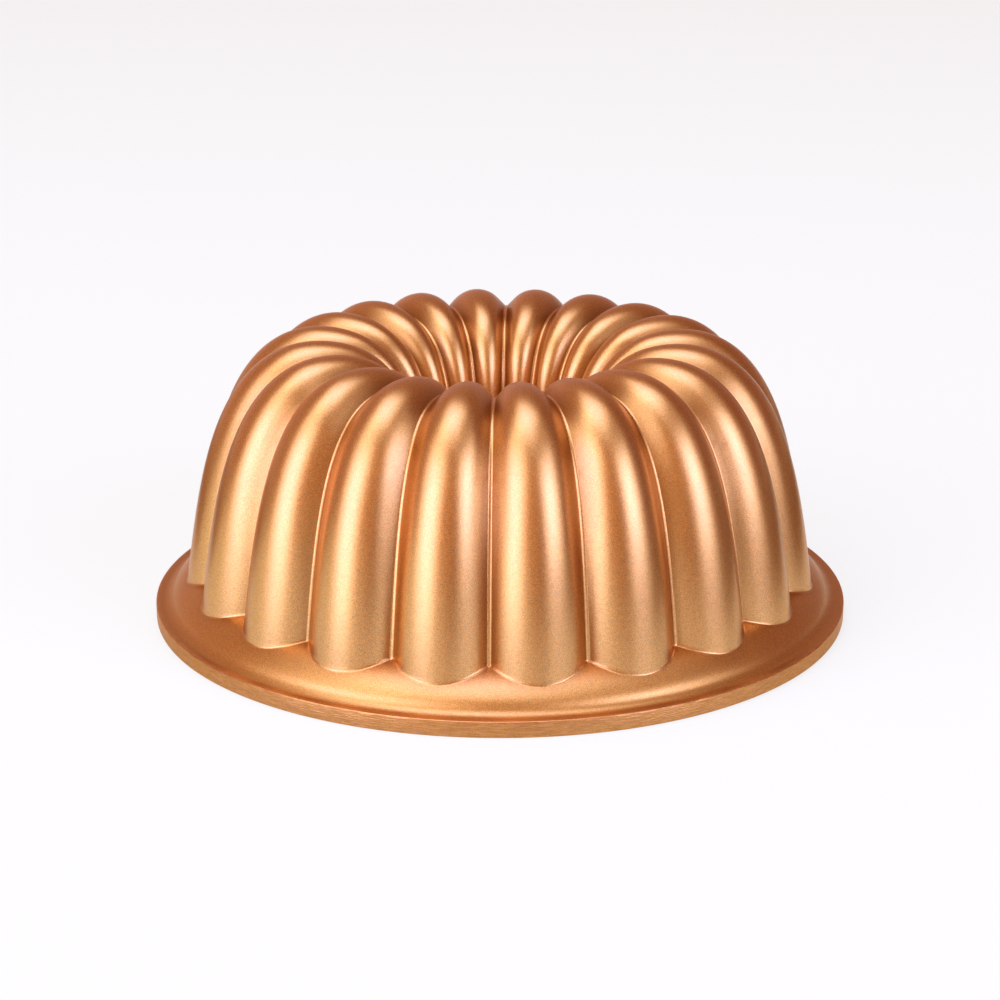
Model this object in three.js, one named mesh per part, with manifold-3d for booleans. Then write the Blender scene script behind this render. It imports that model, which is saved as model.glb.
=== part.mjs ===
// Fluted ring cake mould: one aluminium casting with a gold coating, shown upside down on its rim.
// Millimetres, +Z up. The origin is on the axis, in the plane that the rim rests on.
import * as THREE from "three";
import { mergeVertices } from "three/addons/utils/BufferGeometryUtils.js";
import Module from "manifold-3d";

// Casting
const WALL = 3.4;
const FLUTE_COUNT = 20;
const LOBE_HALF_ANGLE = THREE.MathUtils.degToRad(61);
const GROOVE_RADIUS = 1.0;

// Rim flange: turned edge, flat ledge, and the dome that carries the flutes
const RIM_RADIUS = 130;
const EDGE_HEIGHT = 5.9;
const LEDGE_WIDTH = 3.5;
const LEDGE_FILLET = 3.0;
const DOME_SLOPE = THREE.MathUtils.degToRad(50);
const DOME_RISE = 12.1;
const REST_WIDTH = 6.0;

// Line of the grooves: outer wall, over the crown, down the centre tube
const FOOT_RADIUS = 108.8;
const FOOT_HEIGHT = 16.9;
const WALL_DRAFT = THREE.MathUtils.degToRad(7.3);
const WALL_REACH = 44.2;
const CROWN_RADIUS = 65.2;
const CROWN_HEIGHT = 98.1;
const CROWN_OUTER_REACH = 30.7;
const CROWN_INNER_REACH = 18.3;
const TUBE_RADIUS = 33.0;
const TUBE_TOP = 58.5;
const TUBE_DRAFT = THREE.MathUtils.degToRad(6);
const TUBE_REACH = 28.1;
const TUBE_RECESS = 3.0;

// Where the casting is divided into its named zones
const FLANGE_LIP = 1.0;
const CROWN_DEPTH = 18.0;

// Facets
const LOBE_STEPS = 4;
const WALL_STEPS = 5;
const CROWN_STEPS = 4;
const DOME_STEPS = 4;
const TURNS = 60;
const CUT_MARGIN = 5.0;
const MERGE_DISTANCE = 1e-4;

// Coating, with the turned rim a little browner
const COATING_COLOUR = 0xc98a45;
const COATING_ROUGHNESS = 0.36;
const RIM_COLOUR = 0xbd7a3c;
const RIM_ROUGHNESS = 0.42;

const HALF_PITCH = Math.PI / FLUTE_COUNT;
const DOME_TOP = EDGE_HEIGHT + DOME_RISE;
const FLANGE_TOP = DOME_TOP + FLANGE_LIP;
const CROWN_BASE = CROWN_HEIGHT - CROWN_DEPTH;

const wasm = await Module();
wasm.setup();

// A closed three.js geometry as a solid that can be joined and cut.
function solidFrom(geometry) {
  const bare = geometry.clone();
  bare.deleteAttribute("normal");
  bare.deleteAttribute("uv");
  const merged = mergeVertices(bare, MERGE_DISTANCE);
  const vertProperties = new Float32Array(merged.getAttribute("position").array);
  const triVerts = new Uint32Array(merged.index.array);
  return new wasm.Manifold(new wasm.Mesh({ numProp: 3, vertProperties, triVerts }));
}

// A solid as a named mesh with its own coating.
function meshFrom(name, solid, material) {
  const { vertProperties, triVerts } = solid.getMesh();
  const geometry = new THREE.BufferGeometry();
  geometry.setAttribute("position", new THREE.BufferAttribute(vertProperties, 3));
  geometry.setIndex(new THREE.BufferAttribute(triVerts, 1));
  geometry.computeVertexNormals();
  const mesh = new THREE.Mesh(geometry, material);
  mesh.name = name;
  return mesh;
}

function goldCoating(color, roughness) {
  return new THREE.MeshStandardMaterial({ color, roughness, metalness: 1 });
}

// A profile of (radius, height) points turned about the Z axis.
function turned(points) {
  const lathe = new THREE.LatheGeometry(points, TURNS);
  lathe.rotateX(Math.PI / 2);
  return solidFrom(lathe);
}

// A flat slab that holds everything between two heights, out past the rim.
function slab(low, high) {
  const side = 3 * RIM_RADIUS;
  const box = new THREE.BoxGeometry(side, side, high - low);
  box.translate(0, 0, (low + high) / 2);
  return solidFrom(box);
}

// One place on the line of the grooves, with the way out of the casting there.
function station(point, tangent) {
  const out = new THREE.Vector2(tangent.y, -tangent.x).normalize();
  return { radius: point.x, height: point.y, out };
}

function stationsAlong(curve, steps) {
  const fractions = Array.from({ length: steps + 1 }, (_, i) => i / steps);
  return fractions.map((t) => station(curve.getPoint(t), curve.getTangent(t)));
}

// The line of the grooves from the foot of the wall to the end of the tube, both run down to a given height.
function grooveLine(bottom) {
  const up = new THREE.Vector2(-Math.sin(WALL_DRAFT), Math.cos(WALL_DRAFT));
  const down = new THREE.Vector2(-Math.sin(TUBE_DRAFT), -Math.cos(TUBE_DRAFT));
  const foot = new THREE.Vector2(FOOT_RADIUS, FOOT_HEIGHT);
  const crown = new THREE.Vector2(CROWN_RADIUS, CROWN_HEIGHT);
  const tube = new THREE.Vector2(TUBE_RADIUS, TUBE_TOP);
  const wallCurve = new THREE.CubicBezierCurve(
    foot,
    foot.clone().addScaledVector(up, WALL_REACH),
    new THREE.Vector2(CROWN_RADIUS + CROWN_OUTER_REACH, CROWN_HEIGHT),
    crown,
  );
  const tubeCurve = new THREE.CubicBezierCurve(
    crown,
    new THREE.Vector2(CROWN_RADIUS - CROWN_INNER_REACH, CROWN_HEIGHT),
    tube.clone().addScaledVector(down, -TUBE_REACH),
    tube,
  );
  const start = foot.clone().addScaledVector(up, (bottom - FOOT_HEIGHT) / up.y);
  const end = tube.clone().addScaledVector(down, (bottom - TUBE_TOP) / down.y);
  return [
    station(start, up),
    ...stationsAlong(wallCurve, WALL_STEPS),
    ...stationsAlong(tubeCurve, CROWN_STEPS).slice(1),
    station(end, down),
  ];
}

// The ring of points that the flutes make round one station, a given depth under the outer surface.
// Each flute is a round lobe between two small groove fillets.
function fluteRing({ radius, height, out }, depth) {
  const halfWidth = radius * Math.sin(HALF_PITCH);
  const lobeRadius = halfWidth / Math.sin(LOBE_HALF_ANGLE) - GROOVE_RADIUS - depth;
  const lobeCentre = GROOVE_RADIUS - halfWidth / Math.tan(LOBE_HALF_ANGLE);
  const ring = [];
  const place = (angle, along, across, lift) => {
    const x = along + out.x * lift;
    const [c, s] = [Math.cos(angle), Math.sin(angle)];
    ring.push(new THREE.Vector3(x * c - across * s, x * s + across * c, height + out.y * lift));
  };
  for (let flute = 0; flute < FLUTE_COUNT; flute++) {
    const groove = -Math.PI / 2 + 2 * HALF_PITCH * flute;
    place(groove, radius, 0, -depth);
    for (let i = 0; i <= LOBE_STEPS; i++) {
      const turn = LOBE_HALF_ANGLE * ((2 * i) / LOBE_STEPS - 1);
      const across = lobeRadius * Math.sin(turn);
      const lift = lobeCentre + lobeRadius * Math.cos(turn);
      place(groove + HALF_PITCH, radius * Math.cos(HALF_PITCH), across, lift);
    }
  }
  return ring;
}

// The ring-shaped solid under the fluted surface at a given depth, closed below at a given height.
function flutedRing(depth, bottom) {
  const rings = grooveLine(bottom).map((place) => fluteRing(place, depth));
  const around = rings[0].length;
  const index = [];
  rings.forEach((_, row) => {
    const next = (row + 1) % rings.length;
    for (let i = 0; i < around; i++) {
      const j = (i + 1) % around;
      const [a, b] = [row * around + i, row * around + j];
      const [c, d] = [next * around + i, next * around + j];
      index.push(a, b, d, a, d, c);
    }
  });
  const geometry = new THREE.BufferGeometry().setFromPoints(rings.flat());
  geometry.setIndex(index);
  return solidFrom(geometry);
}

// The dome of the flange, or its underside, from the ledge in under the wall.
function domeCurve(depth) {
  const edge = new THREE.Vector2(
    RIM_RADIUS - LEDGE_WIDTH - depth * Math.sin(DOME_SLOPE),
    EDGE_HEIGHT - depth * Math.cos(DOME_SLOPE),
  );
  const root = new THREE.Vector2(FOOT_RADIUS - 2 * WALL, DOME_TOP - depth);
  const run = (root.y - edge.y) / Math.tan(DOME_SLOPE);
  const bend = new THREE.Vector2(edge.x - run, root.y);
  return new THREE.QuadraticBezierCurve(edge, bend, root).getPoints(DOME_STEPS);
}

// The hollow fillet between the ledge and the dome, from the ledge up.
function ledgeFillet() {
  const centre = new THREE.Vector2(
    RIM_RADIUS - LEDGE_WIDTH + LEDGE_FILLET * Math.tan(DOME_SLOPE / 2),
    EDGE_HEIGHT + LEDGE_FILLET,
  );
  const turns = [0, DOME_SLOPE / 2, DOME_SLOPE];
  return turns.map((turn) => {
    const arm = new THREE.Vector2(-Math.sin(turn), -Math.cos(turn));
    return centre.clone().addScaledVector(arm, LEDGE_FILLET);
  });
}

// The flange as a full ring: turned edge, ledge and dome.
function flangeBlock() {
  const dome = domeCurve(0);
  const root = dome[dome.length - 1];
  const profile = [
    new THREE.Vector2(root.x, 0),
    new THREE.Vector2(RIM_RADIUS, 0),
    new THREE.Vector2(RIM_RADIUS, EDGE_HEIGHT),
    ...ledgeFillet(),
    ...dome.slice(1),
    new THREE.Vector2(root.x, 0),
  ];
  return turned(profile);
}

// The space of the mouth inside the flange, which also cuts the tube off short of the rim.
function mouthSpace() {
  const underside = domeCurve(WALL);
  const root = underside[underside.length - 1];
  const profile = [
    new THREE.Vector2(0, -CUT_MARGIN),
    new THREE.Vector2(RIM_RADIUS - REST_WIDTH, -CUT_MARGIN),
    new THREE.Vector2(RIM_RADIUS - REST_WIDTH, 0),
    ...underside,
    new THREE.Vector2(CROWN_RADIUS, root.y),
    new THREE.Vector2(CROWN_RADIUS, TUBE_RECESS),
    new THREE.Vector2(0, TUBE_RECESS),
  ];
  return turned(profile);
}

// The cylinder inside the cake space that parts the tube from the wall.
function tubeCore() {
  const profile = [
    new THREE.Vector2(0, -CUT_MARGIN),
    new THREE.Vector2(CROWN_RADIUS, -CUT_MARGIN),
    new THREE.Vector2(CROWN_RADIUS, CROWN_BASE),
    new THREE.Vector2(0, CROWN_BASE),
  ];
  return turned(profile);
}

const outside = flutedRing(0, 0).add(flangeBlock());
const cakeSpace = flutedRing(WALL, -CUT_MARGIN).add(mouthSpace());
const casting = outside.subtract(cakeSpace);

const core = tubeCore();
const around = casting.subtract(core);
const flange = around.intersect(slab(-CUT_MARGIN, FLANGE_TOP));
const wall = around.intersect(slab(FLANGE_TOP, CROWN_BASE));
const crown = casting.subtract(slab(-CUT_MARGIN, CROWN_BASE));
const tube = casting.intersect(core);

const part = new THREE.Group();
part.add(
  meshFrom("rim_flange", flange, goldCoating(RIM_COLOUR, RIM_ROUGHNESS)),
  meshFrom("outer_wall", wall, goldCoating(COATING_COLOUR, COATING_ROUGHNESS)),
  meshFrom("crown", crown, goldCoating(COATING_COLOUR, COATING_ROUGHNESS)),
  meshFrom("centre_tube", tube, goldCoating(COATING_COLOUR, COATING_ROUGHNESS)),
);

export default part;
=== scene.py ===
import math

import bpy
import numpy as np
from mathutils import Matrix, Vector


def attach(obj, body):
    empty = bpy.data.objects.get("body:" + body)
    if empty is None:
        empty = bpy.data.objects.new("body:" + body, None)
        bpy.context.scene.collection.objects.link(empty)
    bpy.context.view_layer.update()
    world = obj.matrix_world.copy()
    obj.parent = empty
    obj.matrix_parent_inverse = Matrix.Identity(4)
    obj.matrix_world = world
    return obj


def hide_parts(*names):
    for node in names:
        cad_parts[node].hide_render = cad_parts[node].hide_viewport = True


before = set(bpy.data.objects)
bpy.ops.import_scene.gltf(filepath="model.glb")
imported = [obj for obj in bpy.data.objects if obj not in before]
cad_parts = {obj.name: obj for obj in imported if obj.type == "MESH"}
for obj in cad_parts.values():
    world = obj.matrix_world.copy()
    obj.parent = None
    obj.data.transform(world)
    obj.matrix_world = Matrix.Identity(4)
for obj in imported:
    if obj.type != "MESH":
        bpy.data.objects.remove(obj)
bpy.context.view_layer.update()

MM = 0.001

# Sizes of the casting
WALL = 3.4 * MM
MAX_WALL_SHARE = 0.9  # of a lobe's radius
FLUTE_COUNT = 20
LOBE_HALF_ANGLE = math.radians(61)
FOOT_FLANK_LEAN = math.radians(57)
CROWN_FLANK_LEAN = math.radians(47.5)
FLANK_RISE = 50 * MM
GROOVE_RADIUS = 1.0 * MM
TUBE_GROOVE_RADIUS = 1.4 * MM
TUBE_GROOVE_PLACE = 1.3  # times the length of the line as far as the crown
RIM_RADIUS = 130 * MM
EDGE_HEIGHT = 5.9 * MM
LEDGE_WIDTH = 3.5 * MM
FLAT_LEDGE = 2.2 * MM
HOLLOW_RADIUS = 4.9 * MM
HOLLOW_SLOPE = math.radians(61)
SHOULDER_RADIUS = 118.8 * MM
DOME_SLOPE = math.radians(50)
DOME_RISE = 12.1 * MM
REST_WIDTH = 6.0 * MM
FOOT_RADIUS = 108.8 * MM
FOOT_HEIGHT = 16.9 * MM
WALL_DRAFT = math.radians(7.3)
WALL_REACH = 44.2 * MM
CROWN_RADIUS = 65.2 * MM
CROWN_HEIGHT = 98.1 * MM
CROWN_OUTER_REACH = 30.7 * MM
CROWN_INNER_REACH = 18.3 * MM
TUBE_RADIUS = 33.0 * MM
TUBE_TOP = 58.5 * MM
TUBE_DRAFT = math.radians(6)
TUBE_REACH = 28.1 * MM
TUBE_RECESS = 3.0 * MM
FLANGE_LIP = 1.0 * MM
CROWN_DEPTH = 18.0 * MM

# Small rounds that the casting and its turned rim have
BASE_FILLET = 0.9 * MM
INNER_FILLET = 1.5 * MM
CORNER_ROUND = 0.5 * MM
MOUTH_ROUND = 0.8 * MM
TUBE_END_ROUND = 0.8 * MM

# Mesh density
FINE = 800
FINE_ARC = 200
GROOVE_STEPS = 4
FLANK_STEPS = 2
LOBE_STEPS = 14
ARC_STEPS = 5
HOLLOW_ROWS = 8
DOME_ROWS = 16
UNDERSIDE_ROWS = 8
MOUTH_SHARE = 0.02  # of the underside, left free next to the mouth's corner
LIP_ROWS = 3
WALL_ROWS = 26
CROWN_ROWS = 40
TUBE_ROWS = 22
INNER_SHARE = 0.45  # of the rows outside

# Search of lengths along the lines
LINE_MARGIN = 8 * MM
END_MARGIN = 1 * MM
SEAT_REACH = 10 * MM
NORMAL_STEP = 0.05 * MM
NEAREST_ROUNDS = 3
HALVINGS = 45

# Painted shade: how much shade is painted into the coating between the flutes of the wall, in the
# hollow and on the dome at the roots of the flutes, and from where down a lobe the painted shade
# begins
WALL_SHADE = 0.4
HOLLOW_SHADE = 0.3
DOME_SHADE = 0.5
DOME_SHADE_POWER = 4
FLANK_SHARE = 0.25
SHADE_START = 0.6

HALF_PITCH = math.pi / FLUTE_COUNT
DOME_TOP = EDGE_HEIGHT + DOME_RISE
FLANGE_TOP = DOME_TOP + FLANGE_LIP
CROWN_BASE = CROWN_HEIGHT - CROWN_DEPTH

# Camera, fitted to the photo
CAMERA_TARGET = Vector((0, 0, 40.26 * MM))
CAMERA_DISTANCE = 970.2 * MM
CAMERA_AZIMUTH = math.radians(1.958)
CAMERA_ELEVATION = math.radians(18.6425)
CAMERA_FOCAL_PIXELS = 2573.7
IMAGE_PIXELS = 1000
SENSOR_WIDTH = 36


def unit(vectors):
    return vectors / np.linalg.norm(vectors, axis=-1, keepdims=True)


def bezier(points, count):
    """Evenly stepped points on a Bezier curve of any degree."""
    t = np.linspace(0, 1, count)[:, None]
    layers = [np.broadcast_to(point, (count, 2)) for point in np.array(points)]
    while len(layers) > 1:
        layers = [a + (b - a) * t for a, b in zip(layers, layers[1:])]
    return layers[0]


class Line:
    """A curve of (radius, height) points with its outward directions, read by length along it."""

    def __init__(self, points):
        self.points = points
        steps = np.linalg.norm(np.diff(points, axis=0), axis=1)
        self.length = np.concatenate([[0], np.cumsum(steps)])
        tangent = unit(np.gradient(points, self.length, axis=0))
        self.out = np.stack([tangent[:, 1], -tangent[:, 0]], axis=1)

    def at(self, length):
        radius, height = (np.interp(length, self.length, self.points[:, i]) for i in (0, 1))
        out = np.stack([np.interp(length, self.length, self.out[:, i]) for i in (0, 1)], axis=-1)
        return radius, height, unit(out)

    def nearest(self, radius, height):
        """Length of the nearest point on the line, and the distance to it, positive outside."""
        apart = np.stack([radius, height], axis=-1)[:, None] - self.points[None]
        best = np.argmin(np.linalg.norm(apart, axis=2), axis=1)
        length = self.length[best]
        for _ in range(NEAREST_ROUNDS):
            r, h, out = self.at(length)
            length = length + (radius - r) * -out[:, 1] + (height - h) * out[:, 0]
        r, h, out = self.at(length)
        return length, (radius - r) * out[:, 0] + (height - h) * out[:, 1]


def groove_line():
    """The line of the grooves: up the wall, over the crown and down the tube."""
    up = np.array([-math.sin(WALL_DRAFT), math.cos(WALL_DRAFT)])
    down = np.array([-math.sin(TUBE_DRAFT), -math.cos(TUBE_DRAFT)])
    foot = np.array([FOOT_RADIUS, FOOT_HEIGHT])
    crown = np.array([CROWN_RADIUS, CROWN_HEIGHT])
    tube = np.array([TUBE_RADIUS, TUBE_TOP])
    outer_arm = np.array([CROWN_RADIUS + CROWN_OUTER_REACH, CROWN_HEIGHT])
    inner_arm = np.array([CROWN_RADIUS - CROWN_INNER_REACH, CROWN_HEIGHT])
    start = foot - up * (FOOT_HEIGHT + LINE_MARGIN) / up[1]
    end = tube - down * (TUBE_TOP + LINE_MARGIN) / down[1]
    wall_curve = bezier([foot, foot + up * WALL_REACH, outer_arm, crown], FINE)
    tube_curve = bezier([crown, inner_arm, tube - down * TUBE_REACH, tube], FINE)
    line = Line(np.concatenate([start[None], wall_curve, tube_curve[1:], end[None]]))
    return line, line.length[FINE]


def dome_line(depth):
    """The dome of the flange, or its underside at a depth, from the ledge in under the wall."""
    edge = np.array([
        RIM_RADIUS - LEDGE_WIDTH - depth * math.sin(DOME_SLOPE),
        EDGE_HEIGHT - depth * math.cos(DOME_SLOPE),
    ])
    root = np.array([FOOT_RADIUS - 2 * WALL, DOME_TOP - depth])
    run = (root[1] - edge[1]) / math.tan(DOME_SLOPE)
    bend = np.array([edge[0] - run, root[1]])
    return Line(bezier([edge, bend, root], FINE))


def hollow_dome():
    """The dome from the ledge on: a hollow, a shoulder, and then the dome of the plain solid."""
    plain = dome_line(0)
    join = np.argmax(plain.points[:, 0] < SHOULDER_RADIUS)
    turn = np.linspace(0, HOLLOW_SLOPE, FINE_ARC)
    rise = 1 - np.cos(turn)
    start = np.array([RIM_RADIUS - FLAT_LEDGE, EDGE_HEIGHT])
    hollow = start + HOLLOW_RADIUS * np.stack([-np.sin(turn), rise], axis=1)

    # The shoulder keeps the directions of both, which cross at its bend.
    steep = np.array([-math.cos(HOLLOW_SLOPE), math.sin(HOLLOW_SLOPE)])
    apart = np.dot(plain.points[join] - hollow[-1], plain.out[join])
    bend = hollow[-1] + steep * apart / np.dot(steep, plain.out[join])
    shoulder = bezier([hollow[-1], bend, plain.points[join]], FINE_ARC)
    return Line(np.concatenate([hollow, shoulder[1:], plain.points[join + 1 :]]))


GROOVES, CROWN_LENGTH = groove_line()
FOOT_LENGTH = FOOT_HEIGHT + LINE_MARGIN
GROOVE_GROWTH = (
    [CROWN_LENGTH, CROWN_LENGTH * TUBE_GROOVE_PLACE],
    [GROOVE_RADIUS, TUBE_GROOVE_RADIUS],
)
FLANK_GROWTH = (
    [FOOT_LENGTH, FOOT_LENGTH + FLANK_RISE],
    [FOOT_FLANK_LEAN, CROWN_FLANK_LEAN],
)
DOME = hollow_dome()
UNDERSIDE = dome_line(WALL)

# Samples round one flute from its left groove on: the share of the flanks' lean that the surface
# has, how far down a flank it is, and the groove fillet it is in
fillet_part = np.linspace(0, 1, GROOVE_STEPS, endpoint=False)
flank_part = np.linspace(1, 0, FLANK_STEPS, endpoint=False)
lobe_part = np.linspace(-1, 1, LOBE_STEPS + 1)
flat = np.ones(FLANK_STEPS)
TURN = np.concatenate([-fillet_part, -flat, lobe_part, flat, fillet_part[:0:-1]])
FLANK = np.zeros(len(TURN))
FLANK[GROOVE_STEPS : GROOVE_STEPS + FLANK_STEPS] = -flank_part
FLANK[-GROOVE_STEPS - FLANK_STEPS + 1 : 1 - GROOVE_STEPS] = flank_part[::-1]
SIDE = np.zeros(len(TURN))
SIDE[:GROOVE_STEPS] = -1
SIDE[1 - GROOVE_STEPS :] = 1
SAMPLES = len(TURN)
LOBE_DEPTH = math.tan(LOBE_HALF_ANGLE / 2)
# Shade painted into the colour towards the grooves, strongest on the flanks beside them and none
# in the groove fillets
sunk = np.abs(TURN) * (1 - FLANK_SHARE) + np.abs(FLANK) * FLANK_SHARE
GROOVE_SHADE = np.clip((sunk - SHADE_START) / (1 - SHADE_START), 0, 1)
GROOVE_SHADE[SIDE != 0] = 0
EVEN_ANGLES = HALF_PITCH * (2 * np.arange(SAMPLES) / SAMPLES - 1)


def flute_section(length):
    """Half width, groove radius, lean of the flanks and lobe radius of a flute at a length.

    A lobe is an arc between two straight flanks, as deep as the arc of the plain solid.
    """
    half_width = GROOVES.at(length)[0] * math.sin(HALF_PITCH)
    groove = np.interp(length, *GROOVE_GROWTH)
    steepest = np.interp(length, *FLANK_GROWTH)
    radius_share = (np.sin(steepest) - LOBE_DEPTH * np.cos(steepest)) / (1 - np.cos(steepest))
    return half_width, groove, steepest, half_width * radius_share - groove


def flute_points(length):
    """Outer surface of one flute, turned to lie along +X, at a length for each sample."""
    radius, height, out = GROOVES.at(length)
    half_width, groove, steepest, lobe = flute_section(length)
    lean = TURN * steepest
    flank = half_width - (lobe + groove) * np.sin(steepest)
    lobe_across = lobe * np.sin(lean) + flank * FLANK
    drop = lobe * (1 - np.cos(lean)) + flank * np.tan(steepest) * np.abs(FLANK)
    across = np.where(SIDE == 0, lobe_across, SIDE * half_width - groove * np.sin(lean))
    lift = np.where(SIDE == 0, half_width * LOBE_DEPTH - drop, groove * (1 - np.cos(lean)))
    along = radius * math.cos(HALF_PITCH) + out[..., 0] * lift
    return np.stack([along, across, height + out[..., 1] * lift], axis=-1)


def flute_normals(length):
    out = GROOVES.at(length)[2]
    forward = flute_points(length + NORMAL_STEP) - flute_points(length - NORMAL_STEP)
    lean = TURN * np.interp(length, *FLANK_GROWTH)
    fall = -out * np.sin(lean)[..., None]
    around = np.stack([fall[..., 0], np.cos(lean), fall[..., 1]], axis=-1)

    # The first sample lies midway between two flutes.
    around[..., 0, :] = math.sin(HALF_PITCH), math.cos(HALF_PITCH), 0
    return unit(np.cross(around, forward))


def under_flute(length, depth):
    """Surface at a depth under the flutes, or at less where the lobes are too narrow for it."""
    *_, lobe = flute_section(length)
    depth = np.minimum(depth, lobe * MAX_WALL_SHARE)
    return flute_points(length) - depth[..., None] * flute_normals(length)


def solve(low, high, is_past):
    """For each sample, the length between two others from which a test holds."""
    low = np.full(SAMPLES, low)
    high = np.full(SAMPLES, high)
    for _ in range(HALVINGS):
        middle = (low + high) / 2
        past = is_past(middle)
        low = np.where(past, low, middle)
        high = np.where(past, middle, high)
    return high


def wall_at(height, depth):
    return solve(0.0, CROWN_LENGTH, lambda length: under_flute(length, depth)[:, 2] > height)


def tube_at(height, depth):
    end = GROOVES.length[-1] - END_MARGIN
    return solve(CROWN_LENGTH, end, lambda length: under_flute(length, depth)[:, 2] < height)


def rows_between(start, end, count, depth):
    """Rows of points on the flutes, or under them, from one length to another for each sample."""
    shares = np.linspace(0, 1, count)[:, None]
    lengths = start + (end - start) * shares
    return list(under_flute(lengths, depth))


def turned_row(radius, height, angles=EVEN_ANGLES):
    radius = np.broadcast_to(radius, angles.shape)
    height = np.broadcast_to(height, angles.shape)
    return np.stack([radius * np.cos(angles), radius * np.sin(angles), height], axis=-1)


def rounded_profile(points, rounds):
    """A profile of (radius, height) points whose inner corners are rounded."""
    points = np.array(points)
    profile = []
    for before, corner, after, radius in zip(points, points[1:], points[2:], rounds):
        back, ahead = unit(before - corner), unit(after - corner)
        half = math.acos(np.dot(back, ahead)) / 2
        centre = corner + unit(back + ahead) * radius / math.sin(half)
        first = corner + back * radius / math.tan(half) - centre
        last = corner + ahead * radius / math.tan(half) - centre
        profile += [centre + arm for arm in arc(first[None], last[None], ARC_STEPS)[:, 0]]
    return profile


def arc(first, last, count):
    """Arms turned evenly from one set of vectors to another of the same lengths."""
    cosine = np.sum(unit(first) * unit(last), axis=1)
    angle = np.arccos(np.clip(cosine, -1, 1))[:, None]
    share = np.linspace(0, 1, count)[:, None, None]
    return (np.sin((1 - share) * angle) * first + np.sin(share * angle) * last) / np.sin(angle)


def ball_seat(line, fillet, depth):
    """Where a ball that rolls along the flutes, at a depth, also touches a turned line.

    Returns the lengths on the groove line, the ball centres, and the lengths and angles on the
    turned line.
    """
    def centre(length):
        return flute_points(length) + (fillet - depth) * flute_normals(length)

    def clear(length):
        ball = centre(length)
        return line.nearest(np.hypot(ball[:, 0], ball[:, 1]), ball[:, 2])[1] > fillet

    length = solve(LINE_MARGIN, wall_at(DOME_TOP + SEAT_REACH, 0).max(), clear)
    ball = centre(length)
    touch = line.nearest(np.hypot(ball[:, 0], ball[:, 1]), ball[:, 2])[0]
    return length, ball, touch, np.arctan2(ball[:, 1], ball[:, 0])


def ring_mesh(name, rows, seams, painted_shade, wear=None):
    """A closed ring from the rows of one flute, repeated round the axis.

    The fourth argument gives the shade painted on each point of the rows, deepest in the recesses,
    and wear says how worn each row is.
    recess says how far each point of the rows lies in a recess, and wear how worn each row is.
    """
    count = len(rows)
    flute = np.array(rows)
    turns = -math.pi / 2 + HALF_PITCH + 2 * HALF_PITCH * np.arange(FLUTE_COUNT)

    def repeat(vectors):
        x, y, z = np.moveaxis(vectors, -1, 0)
        copies = []
        for c, s in zip(np.cos(turns), np.sin(turns)):
            copies.append(np.stack([x * c - y * s, x * s + y * c, z], axis=-1))
        return np.concatenate(copies, axis=-2)

    vertices = repeat(flute)
    around = vertices.shape[1]
    row, column = np.meshgrid(np.arange(count), np.arange(around), indexing="ij")
    next_row, next_column = (row + 1) % count, (column + 1) % around
    corners = [(row, column), (row, next_column), (next_row, next_column), (next_row, column)]
    faces = np.stack([r * around + c for r, c in corners], axis=-1)

    mesh = bpy.data.meshes.new(name)
    mesh.from_pydata(vertices.reshape(-1, 3), [], faces.reshape(-1, 4))
    mesh.update()

    # The faces on a seam plane are flat, and the surface runs smoothly across its edge.
    cut = np.array([i in seams and (i + 1) % count in seams for i in range(count)])
    mesh.polygons.foreach_set("use_smooth", np.repeat(~cut, around))
    normals = np.zeros((count, around, 4, 3))
    for i, along_row in seams.items():
        ring = repeat(along_row)
        if not cut[i]:
            normals[i, :, 0] = ring
            normals[i, :, 1] = np.roll(ring, -1, axis=0)
        if not cut[i - 1]:
            normals[i - 1, :, 3] = ring
            normals[i - 1, :, 2] = np.roll(ring, -1, axis=0)
    mesh.normals_split_custom_set(normals.reshape(-1, 3))

    rubbed = np.zeros(count) if wear is None else wear
    # The first attribute carries the shade painted into the colour
    paint = {"painted_shade": np.tile(painted_shade, FLUTE_COUNT), "wear": np.repeat(rubbed, around)}
    for label, values in paint.items():
        mesh.attributes.new(label, "FLOAT", "POINT").data.foreach_set("value", values.ravel())

    piece = bpy.data.objects.new(name, mesh)
    bpy.context.scene.collection.objects.link(piece)
    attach(piece, "root")
    return piece


def inner_count(count):
    return round(count * INNER_SHARE)


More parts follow.
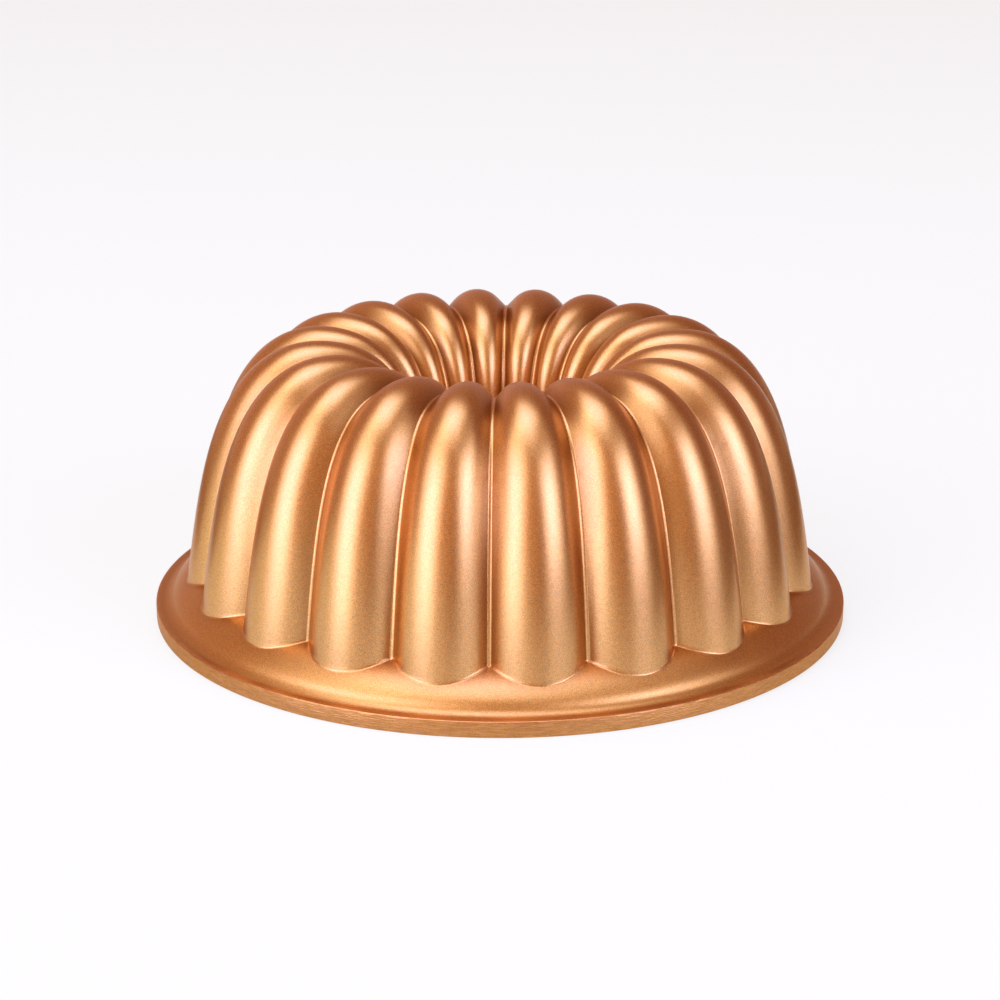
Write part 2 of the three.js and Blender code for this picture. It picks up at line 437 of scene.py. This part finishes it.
def make_flange():
    outer_cut, inner_cut = wall_at(FLANGE_TOP, 0), wall_at(FLANGE_TOP, WALL)
    seat, ball, touch, angles = ball_seat(DOME, BASE_FILLET, 0)
    inner_seat, inner_ball, inner_touch, inner_angles = ball_seat(UNDERSIDE, INNER_FILLET, WALL)
    middle = (RIM_RADIUS - REST_WIDTH / 2, 0)
    rim = rounded_profile(
        [middle, (RIM_RADIUS, 0), (RIM_RADIUS, EDGE_HEIGHT), DOME.points[0]],
        [CORNER_ROUND, CORNER_ROUND],
    )
    start = HOLLOW_RADIUS * HOLLOW_SLOPE
    rim += [DOME.at(length)[:2] for length in np.linspace(0, start, HOLLOW_ROWS)[:-1]]
    rows = [turned_row(radius, height) for radius, height in rim]
    wear = [1.0] * (2 * ARC_STEPS)
    # Shade painted at the foot of the hollow by the ledge, fading towards the shoulder
    ledge_shade = [0] * (2 * ARC_STEPS - 1) + [HOLLOW_SHADE]
    ledge_shade += list(np.linspace(HOLLOW_SHADE, 0, HOLLOW_ROWS)[:-1])
    painted_shade = [np.full(SAMPLES, value) for value in ledge_shade]

    # The dome, whose points crowd towards the flutes as they rise
    for share in np.linspace(0, 1, DOME_ROWS)[:-1]:
        radius, height, _ = DOME.at(start + (touch - start) * share)
        rows.append(turned_row(radius, height, EVEN_ANGLES + (angles - EVEN_ANGLES) * share))
        # Shade painted on the dome near the roots of the flutes, growing towards them
        painted_shade.append((GROOVE_SHADE + DOME_SHADE) * WALL_SHADE * share ** DOME_SHADE_POWER)
    radius, height, _ = DOME.at(touch)
    foot = turned_row(radius, height, angles)
    roots = len(rows)
    rows += list(ball + arc(foot - ball, flute_points(seat) - ball, ARC_STEPS))
    rows += rows_between(seat, outer_cut, LIP_ROWS + 1, 0)[1:]
    seams = {len(rows) - 1: flute_normals(outer_cut), len(rows): -flute_normals(inner_cut)}

    # Inside, down to the mouth
    rows += rows_between(inner_cut, inner_seat, LIP_ROWS + 1, WALL)[:-1]
    radius, height, _ = UNDERSIDE.at(inner_touch)
    foot = turned_row(radius, height, inner_angles)
    top = under_flute(inner_seat, WALL)
    rows += list(inner_ball + arc(top - inner_ball, foot - inner_ball, ARC_STEPS))
    # Shade painted between the flutes over the root fillet, the lip and inside
    painted_shade += [GROOVE_SHADE * WALL_SHADE] * (len(rows) - len(painted_shade))
    for share in np.linspace(1, MOUTH_SHARE, UNDERSIDE_ROWS)[1:]:
        radius, height, _ = UNDERSIDE.at(inner_touch * share)
        rows.append(turned_row(radius, height, EVEN_ANGLES + (inner_angles - EVEN_ANGLES) * share))
    corner = (RIM_RADIUS - REST_WIDTH, 0)
    mouth = rounded_profile([UNDERSIDE.points[0], corner, middle], [MOUTH_ROUND])
    rows += [turned_row(radius, height) for radius, height in mouth]
    painted_shade += [np.zeros(SAMPLES)] * (len(rows) - len(painted_shade))
    wear += [0.0] * (len(rows) - len(wear))
    piece = ring_mesh("casting_rim_flange", rows, seams, painted_shade, wear)

    # The turned edge has the second material, and the roots of the flutes the third.
    finish = np.zeros(len(rows), dtype=int)
    finish[ARC_STEPS // 2 : ARC_STEPS + ARC_STEPS // 2] = 1
    finish[roots:] = 2
    piece.data.polygons.foreach_set("material_index", np.repeat(finish, SAMPLES * FLUTE_COUNT))
    return piece


def shell_rows(outer, inner, count):
    """Rows out along a zone and back inside it, with the normals at its seams.

    outer and inner give the lengths at the start and the end of the zone, on and under the flutes.
    """
    outside = rows_between(outer[0], outer[1], count, 0)
    inside = rows_between(inner[1], inner[0], inner_count(count), WALL)
    seams = {
        0: flute_normals(outer[0]),
        len(outside) - 1: flute_normals(outer[1]),
        len(outside): -flute_normals(inner[1]),
        len(outside) + len(inside) - 1: -flute_normals(inner[0]),
    }
    return outside, inside, seams


def make_wall():
    outer = wall_at(FLANGE_TOP, 0), wall_at(CROWN_BASE, 0)
    inner = wall_at(FLANGE_TOP, WALL), wall_at(CROWN_BASE, WALL)
    outside, inside, seams = shell_rows(outer, inner, WALL_ROWS)
    rows = outside + inside
    # Shade painted into the colour between the flutes
    return ring_mesh("casting_outer_wall", rows, seams, [GROOVE_SHADE * WALL_SHADE] * len(rows))


def make_crown():
    outer = wall_at(CROWN_BASE, 0), tube_at(CROWN_BASE, 0)
    inner = wall_at(CROWN_BASE, WALL), tube_at(CROWN_BASE, WALL)
    outside, inside, seams = shell_rows(outer, inner, CROWN_ROWS)
    # Shade painted between the flutes, growing over the crown from that of the wall to its full
    # amount at the tube
    depth = np.concatenate([
        np.linspace(WALL_SHADE, 1, len(outside)),
        np.linspace(1, WALL_SHADE, len(inside)),
    ])
    return ring_mesh("casting_crown", outside + inside, seams, np.outer(depth, GROOVE_SHADE))


def make_tube():
    low = TUBE_RECESS + TUBE_END_ROUND
    outer_top, inner_top = tube_at(CROWN_BASE, 0), tube_at(CROWN_BASE, WALL)
    outside = rows_between(outer_top, tube_at(low, 0), TUBE_ROWS, 0)
    inside = rows_between(tube_at(low, WALL), inner_top, inner_count(TUBE_ROWS), WALL)

    # The rounded end
    across = unit(inside[0] - outside[-1])
    sink = np.broadcast_to([0, 0, -TUBE_END_ROUND], across.shape)
    outer_centre = outside[-1] + across * TUBE_END_ROUND
    inner_centre = inside[0] - across * TUBE_END_ROUND
    end = list(outer_centre + arc(outside[-1] - outer_centre, sink, ARC_STEPS)[1:])
    end += list(inner_centre + arc(sink, inside[0] - inner_centre, ARC_STEPS)[:-1])

    rows = outside + end + inside
    seams = {0: flute_normals(outer_top), len(rows) - 1: -flute_normals(inner_top)}
    # Full shade painted between the flutes of the tube
    return ring_mesh("casting_centre_tube", rows, seams, [GROOVE_SHADE] * len(rows))


pieces = {
    "rim_flange": make_flange(),
    "outer_wall": make_wall(),
    "crown": make_crown(),
    "centre_tube": make_tube(),
}


def add_node(tree, kind, inputs=None, **settings):
    """A new node, whose inputs are given as values, or as sockets to link."""
    node = tree.nodes.new(kind)
    for name, value in settings.items():
        setattr(node, name, value)
    for name, value in (inputs or {}).items():
        if isinstance(value, bpy.types.NodeSocket):
            tree.links.new(value, node.inputs[name])
        else:
            node.inputs[name].default_value = value
    return node


def remap(tree, value, low, high, from_low=0.3, from_high=0.7):
    """A value spread from one range, by default that of most noise, over another."""
    ends = {"From Min": from_low, "From Max": from_high, "To Min": low, "To Max": high}
    return add_node(tree, "ShaderNodeMapRange", {"Value": value, **ends}).outputs["Result"]


def mix(tree, factor, first, second):
    inputs = {"Factor": factor, "A": first, "B": second}
    return add_node(tree, "ShaderNodeMix", inputs, data_type="RGBA").outputs["Result"]


def noise(tree, place, scale, detail):
    inputs = {"Vector": place, "Scale": scale, "Detail": detail}
    return add_node(tree, "ShaderNodeTexNoise", inputs).outputs[0]


def calculate(tree, operation, *values):
    inputs = dict(enumerate(values))
    return add_node(tree, "ShaderNodeMath", inputs, operation=operation).outputs["Value"]


# Colours of the coating
DARK_FLAKE = (0.43, 0.205, 0.047, 1)
LIGHT_FLAKE = (0.89, 0.435, 0.103, 1)
CLOUD_TINT = (0.58, 0.275, 0.062, 1)
# The dark colour of the shade painted into the recesses
SHADE_TINT = (0.22, 0.07, 0.012, 1)
WORN_TINT = (0.74, 0.345, 0.15, 1)
STREAK_TINT = (0.4, 0.145, 0.045, 1)
METAL_SHEEN = (0.85, 0.65, 0.5, 1)

# How much of each tint there is
CLOUD_SHARE = 0.2
SHADE_SHARE = 0.85
WORN_SHARE = 0.7
FAINT_STREAK, STRONG_STREAK = 0.25, 0.6

# Noise scales per metre, the heights of the grain, and the finish
FLAKE_SCALE = 4200
CLOUD_SCALE = 35
WORN_SCALE = 400
STREAK_SCALE = (220, 220, 2600)
GRAIN_HEIGHT = 0.028 * MM
STREAK_HEIGHT = 7  # times that of the flake
ROUGHNESS_SPREAD = 0.12
COAT_ROUGHNESS = 0.28
COAT_IOR = 2.4
# The coat thins where shade is painted, which dims its reflection there too
COAT_IN_SHADE = 0.25  # of the coat outside the recesses


def gold(name, roughness, coat, streaks):
    """Satin gold coating: metal flake in a clear binder, with shade painted into its recesses, and
    rubbed edges.
    """
    material = bpy.data.materials.new(name)
    material.use_nodes = True
    tree = material.node_tree
    shader = tree.nodes["Principled BSDF"]
    place = add_node(tree, "ShaderNodeTexCoord").outputs["Object"]
    flake = noise(tree, place, FLAKE_SCALE, detail=0)
    cloud = noise(tree, place, CLOUD_SCALE, detail=3)
    # The shade painted into the recesses, read from the mesh
    painted_shade = add_node(tree, "ShaderNodeAttribute", attribute_name="painted_shade").outputs["Fac"]
    wear = add_node(tree, "ShaderNodeAttribute", attribute_name="wear").outputs["Fac"]

    colour = mix(tree, remap(tree, flake, 0, 1), DARK_FLAKE, LIGHT_FLAKE)
    colour = mix(tree, remap(tree, cloud, 0, CLOUD_SHARE), colour, CLOUD_TINT)
    # Painted shade in the recesses
    colour = mix(tree, calculate(tree, "MULTIPLY", painted_shade, SHADE_SHARE), colour, SHADE_TINT)
    patches = remap(tree, noise(tree, place, WORN_SCALE, detail=2), 0, WORN_SHARE)
    colour = mix(tree, calculate(tree, "MULTIPLY", wear, patches), colour, WORN_TINT)

    height = flake
    if streaks:
        stretch = {"Vector": place, "Scale": STREAK_SCALE}
        stretched = add_node(tree, "ShaderNodeMapping", stretch).outputs["Vector"]
        lines = noise(tree, stretched, scale=1, detail=1)
        height = calculate(tree, "MULTIPLY_ADD", lines, STREAK_HEIGHT, flake)
        share = remap(tree, lines, FAINT_STREAK, STRONG_STREAK, from_low=0.4, from_high=0.6)
        colour = mix(tree, share, colour, STREAK_TINT)
    tree.links.new(colour, shader.inputs["Base Color"])
    bump = {"Height": height, "Strength": 1, "Distance": GRAIN_HEIGHT}
    grain = add_node(tree, "ShaderNodeBump", bump).outputs["Normal"]
    tree.links.new(grain, shader.inputs["Normal"])
    tree.links.new(grain, shader.inputs["Coat Normal"])
    base = roughness - ROUGHNESS_SPREAD / 2
    satin = calculate(tree, "MULTIPLY_ADD", cloud, ROUGHNESS_SPREAD, base)
    tree.links.new(satin, shader.inputs["Roughness"])
    # The coat thins with the painted shade
    film = remap(tree, painted_shade, coat, coat * COAT_IN_SHADE, from_low=0, from_high=1)
    tree.links.new(film, shader.inputs["Coat Weight"])

    shader.distribution = "GGX"
    shader.inputs["Metallic"].default_value = 1
    shader.inputs["Specular Tint"].default_value = METAL_SHEEN
    shader.inputs["Coat Roughness"].default_value = COAT_ROUGHNESS
    shader.inputs["Coat IOR"].default_value = COAT_IOR
    return material


COATING = gold("satin_gold_coating", roughness=0.31, coat=0.45, streaks=False)
FLANGE_COATING = gold("satin_gold_flange", roughness=0.36, coat=0.3, streaks=False)
TURNED_EDGE = gold("turned_gold_edge", roughness=0.38, coat=0.08, streaks=True)
for node, piece in pieces.items():
    flange = node == "rim_flange"
    for material in [FLANGE_COATING, TURNED_EDGE, COATING] if flange else [COATING]:
        piece.data.materials.append(material)
    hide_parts(node)


FLOOR_SIZE = 40
PAPER_COLOUR = (0.79, 0.87, 0.8, 1)
PAPER_GLOW = 0.7


def make_floor():
    """White paper with a faint shadow, nearly white to the camera and in reflections."""
    bpy.ops.mesh.primitive_plane_add(size=FLOOR_SIZE)
    floor = bpy.context.object
    floor.name = "floor"
    paper = bpy.data.materials.new("white_paper")
    paper.use_nodes = True
    tree = paper.node_tree
    matt = tree.nodes["Principled BSDF"]
    matt.inputs["Base Color"].default_value = PAPER_COLOUR
    matt.inputs["Roughness"].default_value = 1
    matt.inputs["Specular IOR Level"].default_value = 0
    white = add_node(tree, "ShaderNodeEmission").outputs["Emission"]
    path = add_node(tree, "ShaderNodeLightPath").outputs
    seen = calculate(tree, "MAXIMUM", path["Is Camera Ray"], path["Is Glossy Ray"])
    seen = calculate(tree, "MAXIMUM", seen, path["Is Transmission Ray"])
    share = calculate(tree, "MULTIPLY", seen, PAPER_GLOW)
    both = add_node(tree, "ShaderNodeMixShader", {0: share, 1: matt.outputs["BSDF"], 2: white})
    tree.links.new(both.outputs["Shader"], tree.nodes["Material Output"].inputs["Surface"])
    floor.data.materials.append(paper)


# Colours of the room and its backdrop at the left and the right, and where the backdrop begins
# and is full, in parts of the directions up, back and right
ROOM = (0.51, 0.225, 0.095, 1), (0.26, 0.075, 0.027, 1)
BACKDROP = (0.88, 0.58, 0.62, 1), (0.5, 0.32, 0.34, 1)
BACKDROP_TOP = 0.85
BACKDROP_EDGE = 0.1, 0.9
BACKDROP_SIDES = -0.5, 0.5


def make_studio():
    """A dim warm room, lighter to the left, with a pale backdrop low behind the mould."""
    world = bpy.data.worlds.new("studio")
    bpy.context.scene.world = world
    world.use_nodes = True
    tree = world.node_tree
    direction = add_node(tree, "ShaderNodeTexCoord").outputs["Generated"]
    x, y, z = add_node(tree, "ShaderNodeSeparateXYZ", {"Vector": direction}).outputs
    room = mix(tree, remap(tree, x, 0, 1, from_low=-1, from_high=1), *ROOM)
    low = remap(tree, z, 1, 0, 0, BACKDROP_TOP)
    behind = remap(tree, y, 0, 1, *BACKDROP_EDGE)
    pale = mix(tree, remap(tree, x, 0, 1, *BACKDROP_SIDES), *BACKDROP)
    room = mix(tree, calculate(tree, "MULTIPLY", low, behind), room, pale)
    tree.links.new(room, tree.nodes["Background"].inputs["Color"])


def softbox(name, azimuth, elevation, distance, width, height, radiance, colour):
    """A lamp with its direction from the mould and its angular size, all in degrees.

    The azimuth counts from the front, to the right.
    """
    data = bpy.data.lights.new(name, "AREA")
    data.shape = "RECTANGLE"
    data.size = 2 * distance * math.tan(math.radians(width / 2))
    data.size_y = 2 * distance * math.tan(math.radians(height / 2))
    data.energy = radiance * math.pi * data.size * data.size_y
    data.color = colour
    lamp = bpy.data.objects.new(name, data)
    bpy.context.scene.collection.objects.link(lamp)
    turn, rise = math.radians(azimuth), math.radians(elevation)
    level = math.cos(rise)
    direction = Vector((math.sin(turn) * level, -math.cos(turn) * level, math.sin(rise)))
    lamp.location = CAMERA_TARGET + direction * distance
    lamp.rotation_euler = direction.to_track_quat("Z", "Y").to_euler()
    lamp.visible_camera = False


def card(name, colour, *corners):
    """A glowing card on the floor outside the picture, seen only in the mould's reflections: a
    painted reflection.
    """
    mesh = bpy.data.meshes.new(name)
    mesh.from_pydata([(x, y, CARD_HEIGHT) for x, y in corners], [], [range(len(corners))])
    piece = bpy.data.objects.new(name, mesh)
    bpy.context.scene.collection.objects.link(piece)
    material = bpy.data.materials.new(name)
    material.use_nodes = True
    shader = material.node_tree.nodes["Principled BSDF"]
    shader.inputs["Base Color"].default_value = (0, 0, 0, 1)
    shader.inputs["Emission Color"].default_value = colour
    shader.inputs["Emission Strength"].default_value = 1
    mesh.materials.append(material)
    piece.visible_camera = piece.visible_diffuse = piece.visible_shadow = False


CARD_HEIGHT = 2 * MM
# Colours the cards glow with; the brightest paints a highlight in the reflections
DARK_CARD = (0.23, 0.12, 0.07, 1)
DIM_CARD = (0.34, 0.18, 0.1, 1)
PALE_CARD = (0.9, 0.9, 0.75, 1)
REFLECTION_GLOW = (2.3, 2.45, 2.7, 1)
DAYLIGHT = (0.97, 1.03, 1.1)
SKYLIGHT = (0.75, 1, 2.95)
WARM = (1.2, 0.8, 0.42)
make_floor()
make_studio()

# Azimuth, elevation, distance, width, height and radiance of each lamp
softbox("softbox_left", -50, 23, 3, 56, 57, 1.57, DAYLIGHT)
softbox("softbox_left_core", -49, 19, 2.9, 32, 40, 1.02, SKYLIGHT)
softbox("softbox_left_upper", -62, 59, 3, 42, 25, 0.82, DAYLIGHT)
softbox("softbox_right", 55, 23, 3, 45, 44, 1.82, DAYLIGHT)
softbox("softbox_right_core", 52, 22, 2.9, 27, 31, 1.3, SKYLIGHT)
softbox("softbox_top", -110, 84, 3, 49, 49, 1.53, DAYLIGHT)
softbox("softbox_top_core", -110, 84, 2.9, 28, 28, 0.8, SKYLIGHT)
softbox("ceiling_right", 62, 58, 3.2, 50, 26, 0.32, DAYLIGHT)
softbox("front_fill", -15, 22, 3.3, 60, 56, 0.25, WARM)

# The corners of each card
# Each card glows with its colour and shows only in the mould's reflections: painted dark or pale
# reflections, and with the bright one a painted highlight
card("dark_reflection_front", DARK_CARD, (-0.02, -0.315), (0.17, -0.315), (1.3, -2.5), (-0.15, -2.5))
card("dark_reflection_right", DARK_CARD, (0.20, -0.02), (0.42, 1.1), (3, 1.1), (3, -0.9))
card("dark_reflection_front_right", DARK_CARD, (0.175, -0.315), (0.205, -0.025), (3, -0.95), (1.35, -2.5))
card("dim_reflection_left", DIM_CARD, (-0.20, 0.02), (-0.42, 1.1), (-3, 1.1), (-3, 0.3))
card("pale_reflection_left", PALE_CARD, (-0.20, 0.01), (-3, 0.25), (-2.6, -1.2), (-0.22, -0.19))
card("reflection_glow_left", REFLECTION_GLOW, (-0.15, -0.315), (-0.9, -2.2), (-2.6, -1.25), (-0.22, -0.2))

# Camera
camera_data = bpy.data.cameras.new("camera")
camera_data.sensor_width = SENSOR_WIDTH
camera_data.lens = CAMERA_FOCAL_PIXELS * SENSOR_WIDTH / IMAGE_PIXELS
camera = bpy.data.objects.new("camera", camera_data)
bpy.context.scene.collection.objects.link(camera)
level = CAMERA_DISTANCE * math.cos(CAMERA_ELEVATION)
camera.location = CAMERA_TARGET + Vector((
    level * math.sin(CAMERA_AZIMUTH),
    -level * math.cos(CAMERA_AZIMUTH),
    CAMERA_DISTANCE * math.sin(CAMERA_ELEVATION),
))
camera.rotation_euler = (CAMERA_TARGET - camera.location).to_track_quat("-Z", "Y").to_euler()
bpy.context.scene.camera = camera
bpy.context.scene.view_settings.view_transform = "Standard"
